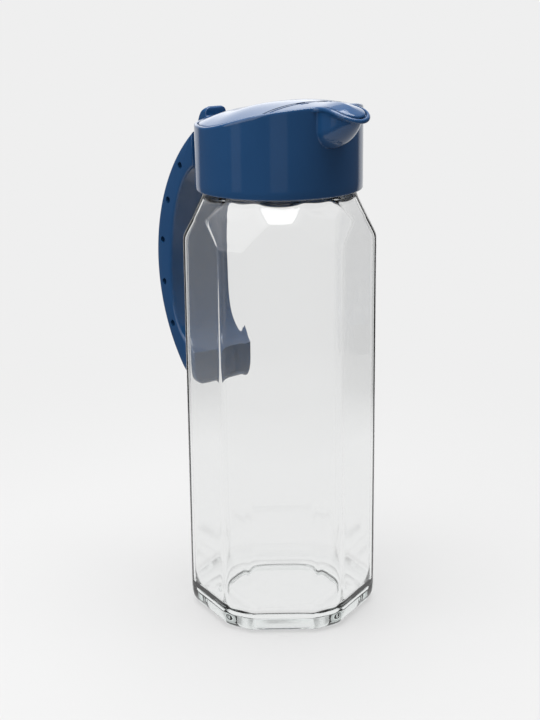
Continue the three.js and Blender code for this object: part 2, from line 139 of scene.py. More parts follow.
# Each station of the wall is a kind, a height and a value. The value is a share of the
# push-up, ring or floor, a radius on the neck, a thickness inside, or degrees in the bowl.
wall = [("hex", z, share) for z, share in (
    (4.0, 0.0), (4.0, 0.5), (4.0, 0.85), (3.7, 0.91), (3.0, 0.95), (1.2, 1.0), (0.3, 1.03), (0.0, 1.07))]
wall += [("ring", 0.0, 0.5)]
wall += [("outer", HEEL * (1 - math.cos(math.radians(a))), 0) for a in range(0, 91, 10)]
wall += [("outer", z, 0) for z in range(STRAIGHT, 180, 12)]
wall += [("outer", 186 + 0.6 * i, 0) for i in range(50)]
wall += [("neck", 216.5, NECK), ("neck", 218.6, NECK), ("neck", 219.2, NECK - 0.3),
         ("neck", 219.5, NECK - 1), ("neck", 219.7, NECK - 1.7)]
wall += [("threaded", 220 + 0.5 * i, FINISH) for i in range(30)]
wall += [("neck", NECK_TOP - 0.7, FINISH - 0.1), ("neck", NECK_TOP - 0.2, FINISH - 0.5),
         ("neck", NECK_TOP, FINISH - 1.2), ("neck", NECK_TOP, BORE + 1.4),
         ("neck", NECK_TOP - 0.3, BORE + 0.5), ("neck", NECK_TOP - 1, BORE)]
wall += [("neck", 232 - 3 * i, BORE) for i in range(5)]
wall += [("inner", 216 - 0.8 * i, WALL) for i in range(38)]
wall += [("inner", z, WALL) for z in range(178, STRAIGHT, -8)]
wall += [("bowl", BOWL, a) for a in range(0, 91, 10)]
wall += [("floor", FLOOR + rise, share) for rise, share in (
    (0.1, 0.95), (0.5, 0.9), (1.2, 0.8375), (1.8, 0.775), (2.1, 0.7), (2.2, 0.5625), (2.2, 0.3125), (2.2, 0.0))]
bm, station = spun([(0 if value == 0 and kind in ("hex", "floor") else 30, z) for kind, z, value in wall], 360)
for vert in bm.verts:
    kind, z, value = wall[vert[station]]
    angle = math.atan2(vert.co.y, vert.co.x)
    if kind == "hex":
        turn = (angle - math.radians(GLASS_TURN) + math.pi / 6) % (math.pi / 3) - math.pi / 6
        radius = value * PUSH_UP * soft_min([1 / math.cos(turn), PUSH_UP_CORNER], 30)
    elif kind == "ring":
        radius = FOOT_RING + value * (glass_radius(angle, 0, 0, OUTER_CORNER) - FOOT_RING)
    elif kind == "outer":
        radius = soft_max(glass_radius(angle, z, 0, OUTER_CORNER), NECK, 1.2)
    elif kind == "neck":
        radius = value
    elif kind == "threaded":
        radius = value + thread_height(angle, z, 225, 1.0)
    elif kind == "inner":
        ripple = 0.06 * math.sin(3 * angle + z / 17) + 0.05 * math.sin(5 * angle - z / 23 + 1)
        radius = soft_max(glass_radius(angle, z, value, INNER_CORNER) + ripple, BORE, 3)
    elif kind == "bowl":
        bend = math.radians(value)
        z = FLOOR + BOWL * (1 - math.sin(bend))
        radius = glass_radius(angle, STRAIGHT, WALL, INNER_CORNER) - BOWL * (1 - math.cos(bend))
    else:
        radius = value * (glass_radius(angle, STRAIGHT, WALL, INNER_CORNER) - BOWL)
    vert.co = (radius * math.cos(angle), radius * math.sin(angle), z)
jug = finished(bm, "glass_body", 60)
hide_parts("glass_jug")
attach(jug, "jug")


def linear(colour):
    """An sRGB hex colour as linear RGBA."""
    parts = [int(colour[i:i + 2], 16) / 255 for i in (1, 3, 5)]
    return [p / 12.92 if p <= 0.04045 else ((p + 0.055) / 1.055) ** 2.4 for p in parts] + [1.0]


def add_node(tree, kind, inputs=None, **settings):
    """Add a node, set its properties, and set or link its inputs."""
    node = tree.nodes.new(kind)
    for key, value in settings.items():
        setattr(node, key, value)
    for key, value in (inputs or {}).items():
        if isinstance(value, bpy.types.NodeSocket):
            tree.links.new(value, node.inputs[key])
        else:
            node.inputs[key].default_value = value
    return node


def new_material(name):
    """A material with an empty node tree."""
    material = bpy.data.materials.new(name)
    material.use_nodes = True
    material.node_tree.nodes.clear()
    return material, material.node_tree


# Soda-lime glass: clear and fire-polished, with long soft ripples from blowing and
# the faint green that iron gives it where the glass is thick.
RIPPLE_LENGTH = 35.714 * MM
glass, tree = new_material("soda_lime_glass")
place = add_node(tree, "ShaderNodeTexCoord")
ripple = add_node(tree, "ShaderNodeTexNoise", {
    "Vector": place.outputs["Object"], "Scale": 1 / RIPPLE_LENGTH, "Detail": 1.0})
wave = add_node(tree, "ShaderNodeBump", {
    "Height": ripple.outputs["Fac"], "Strength": 0.12, "Distance": 2 * MM})
body = add_node(tree, "ShaderNodeBsdfPrincipled", {
    "Base Color": linear("#FCFCFC"), "Roughness": 0.0, "IOR": 1.48, "Transmission Weight": 1.0,
    "Normal": wave.outputs["Normal"]})
tint = add_node(tree, "ShaderNodeVolumeAbsorption", {"Color": linear("#C8E2DC"), "Density": 7.0})
add_node(tree, "ShaderNodeOutputMaterial", {
    "Surface": body.outputs["BSDF"], "Volume": tint.outputs["Volume"]})
jug.data.materials.append(glass)


# Neck seal: a flat ring of silicone that lies in the collar against its web and
# is squeezed on the glass rim. Moulded, matte and slightly milky.
seal_points = [(32.2, 236.3), (32.5, 236.0), (36.2, 236.0), (36.5, 236.3),
               (36.5, 237.3), (36.2, 237.6), (32.5, 237.6), (32.2, 237.3)]
seal = finished(spun(seal_points, 96, closed=True)[0], "silicone_seal")
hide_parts("neck_seal")
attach(seal, "head")
DUST_SIZE = 2.5 * MM
silicone, tree = new_material("milky_silicone")
place = add_node(tree, "ShaderNodeTexCoord")
dust = add_node(tree, "ShaderNodeTexNoise", {
    "Vector": place.outputs["Object"], "Scale": 1 / DUST_SIZE, "Detail": 3.0})
dull = add_node(tree, "ShaderNodeMapRange", {"Value": dust.outputs["Fac"], "To Min": 0.5, "To Max": 0.7})
body = add_node(tree, "ShaderNodeBsdfPrincipled", {
    "Base Color": linear("#E6E5DF"), "Roughness": dull.outputs["Result"], "IOR": 1.41})
add_node(tree, "ShaderNodeOutputMaterial", {"Surface": body.outputs["BSDF"]})
seal.data.materials.append(silicone)


# Collar: one injection moulding in glossy blue plastic. A threaded skirt screws on
# the neck, a web carries the seal, and above it a chamber opens into the spout. Its
# rim climbs from the rear to the spout and rolls over in a thin lip.
COLLAR, CHAMBER, SKIRT_BORE = 41.0, 37.6, 38.6
SKIRT_BOTTOM, WEB_UNDER, WEB_TOP = 218.6, 237.6, 239.8
RIM_REAR, RIM_RISE, RISE_START, RISE_END = 249.9, 11.3, -10.5, 47.6
DROOP_START, LIP_DROOP, LIP = 40.0, 5.0, 2.3  # the lip is the rolled top of the wall
SPOUT_TIP, SPOUT_HALF, TIP_ROUND = 61.5, 10.0, 9.5
NOSE, NOSE_LOW, NOSE_CLIMB = 58.4, 240.7, 13.3  # the bowl of the spout under the lip
TIP_CENTRE = SPOUT_TIP - TIP_ROUND
SLOT_HALF, NOTCH_FLOOR = 6.85, 243.0  # the opening in the rear for the lever


def ease(share):
    """A smooth step from 0 to 1."""
    share = min(1, max(0, share))
    return share * share * (3 - 2 * share)


def rim_top(x):
    """Height of the rim over a point on the middle plane."""
    droop = LIP_DROOP * (max(0, x - DROOP_START) / (SPOUT_TIP - DROOP_START)) ** 2.1
    return RIM_REAR + RIM_RISE * ease((x - RISE_START) / (RISE_END - RISE_START)) - droop


def farthest(inside):
    """The greatest distance along a ray from the axis that is still inside a shape."""
    low, high = 24, SPOUT_TIP + 2.5
    if not inside(low):
        return 0
    for _ in range(20):
        middle = (low + high) / 2
        low, high = (middle, high) if inside(middle) else (low, middle)
    return low


def bowl_reach(angle, z, inset):
    """Distance from the axis to the round-bottomed bowl of the spout at a height."""
    def inside(radius):
        x, y = radius * math.cos(angle), abs(radius * math.sin(angle))
        along = max(0, x - COLLAR) / (NOSE - inset - COLLAR)
        depth = z - NOSE_LOW - inset - NOSE_CLIMB * along ** 1.6
        if along >= 1 or depth <= 0:
            return False
        half = (SPOUT_HALF - 0.8 - inset) * (1 - along * along) ** 0.6
        dip = max(0, half - depth)
        return y <= math.sqrt(max(0, half * half - dip * dip))

    return farthest(inside) if math.cos(angle) > 0.8 else 0


def lip_reach(angle):
    """Distance from the axis to the round-ended outline of the lip."""
    def inside(radius):
        x, y = radius * math.cos(angle), abs(radius * math.sin(angle))
        if x > TIP_CENTRE:
            return math.hypot(x - TIP_CENTRE, y) < TIP_ROUND
        return y < TIP_ROUND + (SPOUT_HALF - TIP_ROUND) * min(1, (TIP_CENTRE - x) / 6)

    return farthest(inside) if math.cos(angle) > 0.8 else 0


# Directions of the wall's columns, close together along the spout.
half_turn = []
for degrees in range(0, 90, 5):
    bend = math.radians(degrees)
    half_turn.append(math.atan2(TIP_ROUND * math.sin(bend), TIP_CENTRE + TIP_ROUND * math.cos(bend)))
half_turn += [math.atan2(SPOUT_HALF, TIP_CENTRE - 0.2 - 0.65 * i) for i in range(18)]
half_turn += [math.radians(14.6 + 0.9 * i) for i in range(12)]
half_turn += [math.radians(26 + 3 * i) for i in range(48)]
half_turn += [math.radians(a) for a in (170.25, 170.5, 173, 175.5, 178)]
columns = half_turn + [math.pi] + [2 * math.pi - a for a in reversed(half_turn[1:])]

# Plan points of the rim's outer edge, with the direction that faces out.
rim = []
for angle in columns:
    radius = soft_max(COLLAR, lip_reach(angle), 7)
    rim.append(Vector((radius * math.cos(angle), radius * math.sin(angle))))
rim_out = []
for number in range(len(rim)):
    along = (rim[(number + 1) % len(rim)] - rim[number - 1]).normalized()
    rim_out.append(Vector((along.y, -along.x)))


def column_of(vert):
    """The column that a vertex of an evenly spun mesh belongs to."""
    return round(math.atan2(vert.co.y, vert.co.x) / (2 * math.pi) * len(columns)) % len(columns)


# Stations round the wall's section: outside, over the rim, chamber, web and skirt. A round
# station is a height and a radius, and a lip or rim station is a height from the top and an
# inset. A wall or chamber station is a share of the way up or down.
section = [("round", 217.9, 40.3), ("round", 218.1, 40.8), ("round", SKIRT_BOTTOM, COLLAR)]
section += [("wall", 0.1 * i, 0) for i in range(1, 6)]
section += [("wall", 0.56 + 0.44 * i / 40, 0) for i in range(41)]
section += [("lip", -2.2, 0.5), ("lip", -1.9, 0.15), ("lip", -1.4, 0.0)]
section += [("rim", drop, inset) for drop, inset in (
    (-0.8, 0.06), (-0.4, 0.28), (-0.1, 0.7), (0.0, 1.1), (-0.1, 1.45), (-0.4, 1.66), (-0.9, 1.7),
    (-1.3, 1.75), (-1.4, 2.1), (-1.4, 2.9))]
section += [("chamber", i / 14, 0) for i in range(15)]
section += [("round", WEB_TOP, 36.8), ("round", WEB_TOP, 30.0), ("round", 239.4, 29.1), ("round", 238.7, 28.9),
            ("round", 238.0, 29.1), ("round", WEB_UNDER, 30.0), ("round", WEB_UNDER, 38.2),
            ("round", 237.2, SKIRT_BORE)]
section += [("skirt", 236.6 - 0.75 * i, SKIRT_BORE) for i in range(24)]
section += [("round", 218.3, 38.7), ("round", 217.9, 39.1)]
bm, station = spun([(30, 200 + i) for i in range(len(section))], len(columns), closed=True)
for vert in bm.verts:
    column = column_of(vert)
    angle = columns[column]
    kind, value, radius = section[vert[station]]
    edge, top = rim[column], rim_top(rim[column].x)
    if math.cos(angle) < 0 and abs(math.sin(angle)) * COLLAR < SLOT_HALF:
        top = NOTCH_FLOOR
    if kind in ("rim", "lip"):
        inset = radius
        if kind == "lip":
            inset *= min(1, max(0, (edge.length - COLLAR - 0.5) / 4))
        point = edge - rim_out[column] * inset
        vert.co = (point.x, point.y, top + value)
        continue
    z = value
    if kind == "wall":
        z = SKIRT_BOTTOM + (top - LIP - SKIRT_BOTTOM) * value
        radius = soft_max(COLLAR, bowl_reach(angle, z, 0), 2.5)
    elif kind == "chamber":
        z = top - 1.9 + (WEB_TOP - top + 1.9) * value
        radius = soft_max(CHAMBER, bowl_reach(angle, z, 2.2), 2)
    elif kind == "skirt":
        radius -= thread_height(angle, z, 222.5, 0.9)
    vert.co = (radius * math.cos(angle), radius * math.sin(angle), z)
collar = finished(bm, "collar_and_spout", 50)
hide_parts("spout_collar")
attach(collar, "head")

# Moulded gloss plastic: a deep even blue with the slight orange peel of a polished
# mould, and a little unevenness in its shine. The peel is drawn coarser than it is,
# so that it shows.
FLOW_LENGTH, PEEL_SIZE = 25 * MM, 1.111 * MM
blue, tree = new_material("moulded_blue_plastic")
place = add_node(tree, "ShaderNodeTexCoord")
flow = add_node(tree, "ShaderNodeTexNoise", {
    "Vector": place.outputs["Object"], "Scale": 1 / FLOW_LENGTH, "Detail": 3.0})
shade = add_node(tree, "ShaderNodeMix", {
    "Factor": flow.outputs["Fac"], "A": linear("#1C426B"), "B": linear("#204873")}, data_type="RGBA")
peel = add_node(tree, "ShaderNodeTexNoise", {
    "Vector": place.outputs["Object"], "Scale": 1 / PEEL_SIZE, "Detail": 2.0})
skin = add_node(tree, "ShaderNodeBump", {
    "Height": peel.outputs["Fac"], "Strength": 0.04, "Distance": 0.5 * MM})
shine = add_node(tree, "ShaderNodeMapRange", {"Value": flow.outputs["Fac"], "To Min": 0.06, "To Max": 0.1})
body = add_node(tree, "ShaderNodeBsdfPrincipled", {
    "Base Color": shade.outputs["Result"], "Roughness": shine.outputs["Result"], "IOR": 1.49,
    "Normal": skin.outputs["Normal"]})
add_node(tree, "ShaderNodeOutputMaterial", {"Surface": body.outputs["BSDF"]})
collar.data.materials.append(blue)


# Handle block: the part of the collar's blue moulding behind its wall. Two ears on top
# carry the lid's pin between them, and the handle fits against its rear face.
PIVOT_X, PIVOT_Z, BARREL, BARREL_ROOM, PIN_HOLE = -46.2, 246.2, 2.6, 5.0, 1.33
EAR_WIDTH = 4.2


def rounded(bm, edges, offset, segments):
    """Round some edges over."""
    bmesh.ops.bevel(bm, geom=edges, offset=offset, offset_type="OFFSET", segments=segments,
                    profile=0.5, affect="EDGES", material=-1)


def chunk(low, high, bevel, segments=3):
    """A block between two corners with rounded edges."""
    bm = bmesh.new()
    bmesh.ops.create_cube(bm, size=1)
    size = [b - a for a, b in zip(low, high)]
    middle = [(a + b) / 2 for a, b in zip(low, high)]
    bmesh.ops.scale(bm, vec=size, verts=bm.verts)
    bmesh.ops.translate(bm, vec=middle, verts=bm.verts)
    if bevel:
        rounded(bm, bm.edges, bevel, segments)
    return bm


def plate(outline, low, high, bevel):
    """A side outline in X and Z given a width across the jug, with rounded borders."""
    bm = bmesh.new()
    chain = [bm.verts.new((x, low, z)) for x, z in outline]
    loop = [bm.edges.new((a, b)) for a, b in zip(chain, chain[1:] + chain[:1])]
    side_face = bmesh.ops.edgeloop_fill(bm, edges=loop)["faces"]
    made = bmesh.ops.extrude_face_region(bm, geom=side_face)["geom"]
    moved = [v for v in made if isinstance(v, bmesh.types.BMVert)]
    bmesh.ops.translate(bm, vec=(0, high - low, 0), verts=moved)
    bmesh.ops.recalc_face_normals(bm, faces=bm.faces)
    if bevel:
        borders = [e for e in bm.edges if abs(e.verts[0].co.y - e.verts[1].co.y) < 1e-6]
        rounded(bm, borders, bevel, 4)
    return bm


def rod(radius, x, z, low, high, sides=40, chamfer=0):
    """A round bar across the jug with chamfered ends."""
    bm = bmesh.new()
    bmesh.ops.create_cone(bm, cap_ends=True, segments=sides, radius1=radius, radius2=radius, depth=high - low)
    if chamfer:
        ends = [e for e in bm.edges if abs(e.verts[0].co.z - e.verts[1].co.z) < 1e-6]
        rounded(bm, ends, chamfer, 2)
    bmesh.ops.rotate(bm, cent=(0, 0, 0), matrix=Matrix.Rotation(math.pi / 2, 3, "X"), verts=bm.verts)
    bmesh.ops.translate(bm, vec=(x, (low + high) / 2, z), verts=bm.verts)
    return bm


def pivot_arc(radius, degrees):
    """Points in X and Z on a circle round the lid's pivot."""
    return [(PIVOT_X + radius * math.cos(math.radians(a)), PIVOT_Z + radius * math.sin(math.radians(a)))
            for a in degrees]


def reworked(piece, bm, operation):
    """Cut or join a piece with a mesh, which is used up."""
    other = finished(bm, "tool")
    change = piece.modifiers.new("change", "BOOLEAN")
    change.operation = operation
    change.solver = "MANIFOLD"
    change.object = other
    graph = bpy.context.evaluated_depsgraph_get()
    made = bpy.data.meshes.new_from_object(piece.evaluated_get(graph))
    piece.modifiers.clear()
    made.materials.clear()
    piece.data = made
    bpy.data.objects.remove(other)
    piece.data.set_sharp_from_angle(angle=math.radians(SHADING_ANGLE))


block = finished(chunk((-47.4, -17.4, 226), (-39.4, 17.4, 243.2), 1.2), "handle_block")
ear_line = pivot_arc(BARREL, range(-15, 181, 15))
ear_line += [(-47.2, 244.5), (-47.2, 240.0), (-42.6, 240.0), (-42.6, 243.6)]
for side in (-1, 1):
    low, high = sorted((side * SLOT_HALF, side * (SLOT_HALF + EAR_WIDTH)))
    reworked(block, plate(ear_line, low, high, 0.35), "UNION")
reworked(block, rod(BARREL_ROOM, PIVOT_X, PIVOT_Z, -SLOT_HALF, SLOT_HALF), "DIFFERENCE")
reworked(block, rod(PIN_HOLE, PIVOT_X, PIVOT_Z, -18, 18), "DIFFERENCE")
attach(block, "head")
block.data.materials.append(blue)


# Handle: a broad crescent, moulded in the same blue, that hangs from the block and
# stands clear of the glass at its foot. Blind holes run along both its sides, and a
# hollow in its top gives the lever room.
ARC_X, ARC_Z, ARC = 3.4, 173.1, 86.1  # the outside curve
HANDLE_HALF, HANDLE_FRONT, WINDOW = 18.0, 47.7, 69.5
FOOT, FOOT_TOP, FOOT_NARROWS, FOOT_ROUND = 50.0, 126.6, 117, 10
HOLE, HOLE_ARC, FIRST_HOLE, HOLE_STEP = 1.8, 80.8, 39.2, 16.1
LEVER_ROOM = 13.3


def bisected(bm, spot, normal, dist=1e-5, **sides):
    """Cut a whole mesh by a plane."""
    bmesh.ops.bisect_plane(bm, geom=bm.verts[:] + bm.edges[:] + bm.faces[:], dist=dist, plane_co=spot,
                           plane_no=normal, **sides)


def banded(bm, heights):
    """Cut a mesh into level bands so that its flat sides can be bent."""
    for z in heights:
        bisected(bm, (0, 0, z), (0, 0, 1), 1e-4)


def bow(start, control, end, steps):
    """Points along a curve that leaves one end towards a control point."""
    points = []
    for step in range(1, steps + 1):
        t = step / steps
        points.append([(1 - t) ** 2 * a + 2 * t * (1 - t) * b + t * t * c
                       for a, b, c in zip(start, control, end)])
    return points


upper = math.acos((HANDLE_FRONT + ARC_X) / ARC)
lower = -math.acos((FOOT + 5 + ARC_X) / ARC)
outline = [(-(ARC * math.cos(a) - ARC_X), ARC_Z + ARC * math.sin(a))
           for a in [upper + (lower - upper) * i / 56 for i in range(57)]]
outline += bow(outline[-1], (-FOOT - 1.2, 106.4), (-FOOT, 111), 7)
outline += [(-FOOT, 115), (-FOOT, 121), (-FOOT, FOOT_TOP)]
outline += bow((-FOOT, FOOT_TOP), (-WINDOW + 1.5, FOOT_TOP + 6), (-WINDOW - 0.7, ARC_Z - 15), 16)
outline += bow((-WINDOW - 0.7, ARC_Z - 15), (-WINDOW - 0.6, ARC_Z - 6), (-WINDOW, ARC_Z + 2), 5)
outline += bow((-WINDOW, ARC_Z + 2), (-WINDOW + 3.5, 214), (-HANDLE_FRONT, 225), 20)
bm = plate(outline, -HANDLE_HALF, HANDLE_HALF, 1.5)
banded(bm, [106.2 + 0.9 * i for i in range(13)])
for vert in bm.verts:
    below = FOOT_NARROWS - vert.co.z
    if below > 0:
        rest = math.sqrt(max(4, FOOT_ROUND ** 2 - min(below, FOOT_ROUND) ** 2))
        vert.co.y *= (HANDLE_HALF - FOOT_ROUND + rest) / HANDLE_HALF
grip = finished(bm, "crescent_handle", 45)
for side in (-1, 1):
    low, high = sorted((side * 11, side * 19))
    for hole in range(5):
        angle = math.radians(FIRST_HOLE - HOLE_STEP * hole)
        x = ARC_X - HOLE_ARC * math.cos(angle)
        z = ARC_Z + HOLE_ARC * math.sin(angle)
        reworked(grip, rod(HOLE, x, z, low, high, 28), "DIFFERENCE")
lever_room = [(PIVOT_X - 1, PIVOT_Z + 3)]
lever_room += pivot_arc(LEVER_ROOM, range(163, 240, 4))
lever_room += [(PIVOT_X + 1.9, PIVOT_Z - 1.7)]
reworked(grip, plate(lever_room, -SLOT_HALF, SLOT_HALF, 0), "DIFFERENCE")
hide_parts("handle")
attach(grip, "head")
grip.data.materials.append(blue)


# Lid: the domed rear cover of the head, moulded in blue. It drops into the seat inside
# the rim, and its top runs on over the flap as one surface.
LID_INSET, LID, LID_FRONT, LID_THICK = 2.3, 38.7, 24.1, 2.2
CROWN, CROWN_FRONT_FALL, CROWN_REAR_FALL = 9.0, 5.2, 3.0


def lid_depth(x, y):
    """How far inside the edge of the lid a point lies."""
    channel = TIP_ROUND - LID_INSET - math.hypot(max(0, x - TIP_CENTRE), y)
    return soft_max(LID - math.hypot(x, y), channel, 6)


def lid_top(x, y):
    """Height of the domed top over a point."""
    crown = CROWN - CROWN_FRONT_FALL * ease(x / DROOP_START) - CROWN_REAR_FALL * ease((10 - x) / (10 + LID))
    out = 1 - min(1, max(0, lid_depth(x, y) / LID))
    return rim_top(x) + crown * (1 - out ** 3)


# Stations round the lid's section: a share of the way out, and on the edge an inset and a drop.
shell = [("top", share, 0) for share in (
    0, 0.1, 0.2, 0.3, 0.4, 0.5, 0.58, 0.66, 0.73, 0.79, 0.84, 0.88, 0.915, 0.945, 0.97)]
shell += [("edge", inset, drop) for inset, drop in (
    (0.45, 0.0), (0.12, 0.18), (0.0, 0.5), (0.0, 0.8), (0.3, 1.0))]
shell += [("under", share, 0) for share in (0.96, 0.9, 0.82, 0.7, 0.55, 0.4, 0.2, 0)]


def head_top():
    """The whole domed top of the head, from the rear edge to the spout."""
    profile = [(0 if share == 0 and kind != "edge" else 20, number)
               for number, (kind, share, _) in enumerate(shell)]
    bm, station = spun(profile, len(columns))
    for vert in bm.verts:
        column = column_of(vert)
        kind, share, drop = shell[vert[station]]
        edge = rim[column] - rim_out[column] * LID_INSET
        point = edge - rim_out[column] * share if kind == "edge" else edge * share
        z = lid_top(point.x, point.y) - drop
        if kind == "under":
            z = max(rim_top(point.x) - 1, z - LID_THICK)
        vert.co = (point.x, point.y, z)
    bmesh.ops.remove_doubles(bm, verts=bm.verts, dist=0.0005)
    return bm


def sliced(bm, x, ahead):
    """Keep one side of a cross cut and close it."""
    bisected(bm, (x, 0, 0), (1, 0, 0), clear_inner=ahead, clear_outer=not ahead)
    bmesh.ops.holes_fill(bm, edges=[e for e in bm.edges if e.is_boundary], sides=0)


bm = head_top()
sliced(bm, LID_FRONT, False)
lid = finished(bm, "lid_dome")
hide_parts("lid_cover")
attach(lid, "lid")
lid.data.materials.append(blue)


# Thumb lever: part of the lid's blue moulding. Its arm leaves through a notch in the rim,
# turns on the pin between the ears and ends in an upright tab for the thumb.
LEVER_HALF, TAB_NARROWS, TAB_ROUND = 6.5, 250.4, 3.0
lever_line = [(-35.5, 250.6), (-38.6, 249.4), (-41, 248.8), (-50.4, 248.8)]
lever_line += bow((-50.4, 248.8), (-51.2, 248.8), (-51.2, 249.6), 3)
lever_line += [(-51.2, 250.8), (-51.2, 252.1)]
lever_line += bow((-51.2, 252.1), (-51.2, 253.6), (-52.6, 253.6), 5)
lever_line += bow((-52.6, 253.6), (-57.0, 251.4), (-58.8, 245.7), 12)
lever_line += bow((-58.8, 245.7), (-58.8, 244.2), (-57.3, 244.2), 4)
lever_line += [(-48.8, 244.2)]
lever_line += pivot_arc(BARREL, range(235, 360, 12))
lever_line += [(-35.5, 246.4)]
bm = plate(lever_line, -LEVER_HALF, LEVER_HALF, 0.7)
banded(bm, [TAB_NARROWS, 250.9, 251.4, 251.8, 252.2, 252.5, 252.8, 253.0, 253.2, 253.4])
for vert in bm.verts:
    above = vert.co.z - TAB_NARROWS
    if above > 0:
        rest = math.sqrt(max(0.5, TAB_ROUND ** 2 - min(2.9, above) ** 2))
        vert.co.y *= (LEVER_HALF - TAB_ROUND + rest) / LEVER_HALF
lever = finished(bm, "thumb_lever")
reworked(lever, rod(PIN_HOLE, PIVOT_X, PIVOT_Z, -9, 9), "DIFFERENCE")
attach(lever, "lid")
lever.data.materials.append(blue)


# Lid knuckles: two short barrels for the flap's pin, part of the lid's blue moulding. A web
# under the front edge of the lid carries each one.
FLAP_X, FLAP_Z, FLAP_PIN_HOLE = 27.0, 259.0256, 0.98
for side, name in ((-1, "near"), (1, "far")):
    low, high = sorted((side * 5.0, side * 9.4))
    knuckle = finished(rod(2.0, FLAP_X, FLAP_Z, low, high, 32, 0.3), "lid_knuckle_" + name)
    web = chunk((20, low + 0.2, FLAP_Z - 1.9), (FLAP_X - 0.5, high - 0.2, FLAP_Z - 0.2), 0.3, 2)
    reworked(knuckle, web, "UNION")
    reworked(knuckle, rod(FLAP_PIN_HOLE, FLAP_X, FLAP_Z, -12, 12, 24), "DIFFERENCE")
    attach(knuckle, "lid")
    knuckle.data.materials.append(blue)


# Flap: the front of the head's top, moulded in blue. It covers the spout inside the lip and
# turns on the pin in three barrels. A groove runs along its hinge, and a thin ledge behind
# its rear edge lies under the lid and closes the seam.
FLAP_REAR, GROOVE, GROOVE_DEPTH = 25.05, (26.2, 26.4, 27.3, 27.5), 0.6
LEDGE_REAR, LEDGE_HALF, LEDGE_TOP, LEDGE_UNDER = 22.9, 22, 2.6, 3.4
KNUCKLE_ROOM = (4.65, 9.75)


def lid_half(x):
    """Half the width of the round lid at a cross cut."""
    return math.sqrt(LID ** 2 - x ** 2)


bm = head_top()
sliced(bm, LEDGE_REAR, True)
for x in (FLAP_REAR, FLAP_REAR + 0.15) + GROOVE:
    bisected(bm, (x, 0, 0), (1, 0, 0))
for vert in bm.verts:
    x, y, z = vert.co
    top = lid_top(x, y)
    upper = z > top - 0.6
    if GROOVE[0] + 0.1 < x < GROOVE[3] - 0.1 and upper:
        vert.co.z -= GROOVE_DEPTH
    if x < FLAP_REAR + 0.05 and abs(y) < LEDGE_HALF:
        vert.co.z = top - (LEDGE_TOP if upper else LEDGE_UNDER)
    elif x < FLAP_REAR + 0.05:
        shrink = (lid_half(FLAP_REAR) - LEDGE_HALF) / (lid_half(x) - LEDGE_HALF)
        end_y = math.copysign(LEDGE_HALF + (abs(y) - LEDGE_HALF) * shrink, y)
        vert.co = (FLAP_REAR, end_y, lid_top(FLAP_REAR, end_y) + z - top)
flap = finished(bm, "spout_flap_plate")
for side in (-1, 1):
    low, high = sorted(side * y for y in KNUCKLE_ROOM)
    reworked(flap, chunk((22, low, 252), (29.35, high, 266), 0), "DIFFERENCE")
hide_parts("spout_flap")
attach(flap, "flap")
flap.data.materials.append(blue)
inner, outer = KNUCKLE_ROOM
for low, high, radius, name in ((-14.5, -outer, 1.55, "near"), (-inner, inner, 1.9, "middle"),
                                (outer, 14.5, 1.55, "far")):
    barrel = finished(rod(radius, FLAP_X, FLAP_Z - 0.1, low, high, 32, 0.3), "flap_barrel_" + name)
    reworked(barrel, rod(FLAP_PIN_HOLE, FLAP_X, FLAP_Z, -18, 18, 24), "DIFFERENCE")
    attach(barrel, "flap")
    barrel.data.materials.append(blue)


# Hinge pins: two lengths of stainless wire, one through the ears and the lever and one
# through the knuckles and the flap. Drawing leaves fine bright lines along the wire.
LINE_WIDTH, LINE_LENGTH = 0.25 * MM, 16.667 * MM
steel, tree = new_material("drawn_steel_wire")
place = add_node(tree, "ShaderNodeTexCoord")
drawn = add_node(tree, "ShaderNodeMapping", {
    "Vector": place.outputs["Object"], "Scale": (1 / LINE_WIDTH, 1 / LINE_LENGTH, 1 / LINE_WIDTH)})
lines = add_node(tree, "ShaderNodeTexNoise", {"Vector": drawn.outputs["Vector"], "Scale": 1.0, "Detail": 2.0})
polish = add_node(tree, "ShaderNodeMapRange", {"Value": lines.outputs["Fac"], "To Min": 0.22, "To Max": 0.4})
body = add_node(tree, "ShaderNodeBsdfPrincipled", {
    "Base Color": linear("#C4C6C8"), "Metallic": 1.0, "Roughness": polish.outputs["Result"]})
add_node(tree, "ShaderNodeOutputMaterial", {"Surface": body.outputs["BSDF"]})
for node in ("lid_hinge_pin", "flap_hinge_pin"):
    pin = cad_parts[node]
    pin.data.materials.clear()
    pin.data.materials.append(steel)


# Studio: a pale paper floor and a pale world under soft lamps. The camera sees one even
# grey, directly and through the glass. The side in front of the jug is dark in reflections.
PAPER, PAPER_HALF, PAPER_DROP = linear("#EFEFEF"), 6000, 0.05
DARK_SIDE, DARKNESS = (0.783, -0.622, 0), 0.85
bm = bmesh.new()
bmesh.ops.create_grid(bm, x_segments=2, y_segments=2, size=PAPER_HALF)
bmesh.ops.translate(bm, vec=(0, 0, -PAPER_DROP), verts=bm.verts)
floor = finished(bm, "paper_floor")


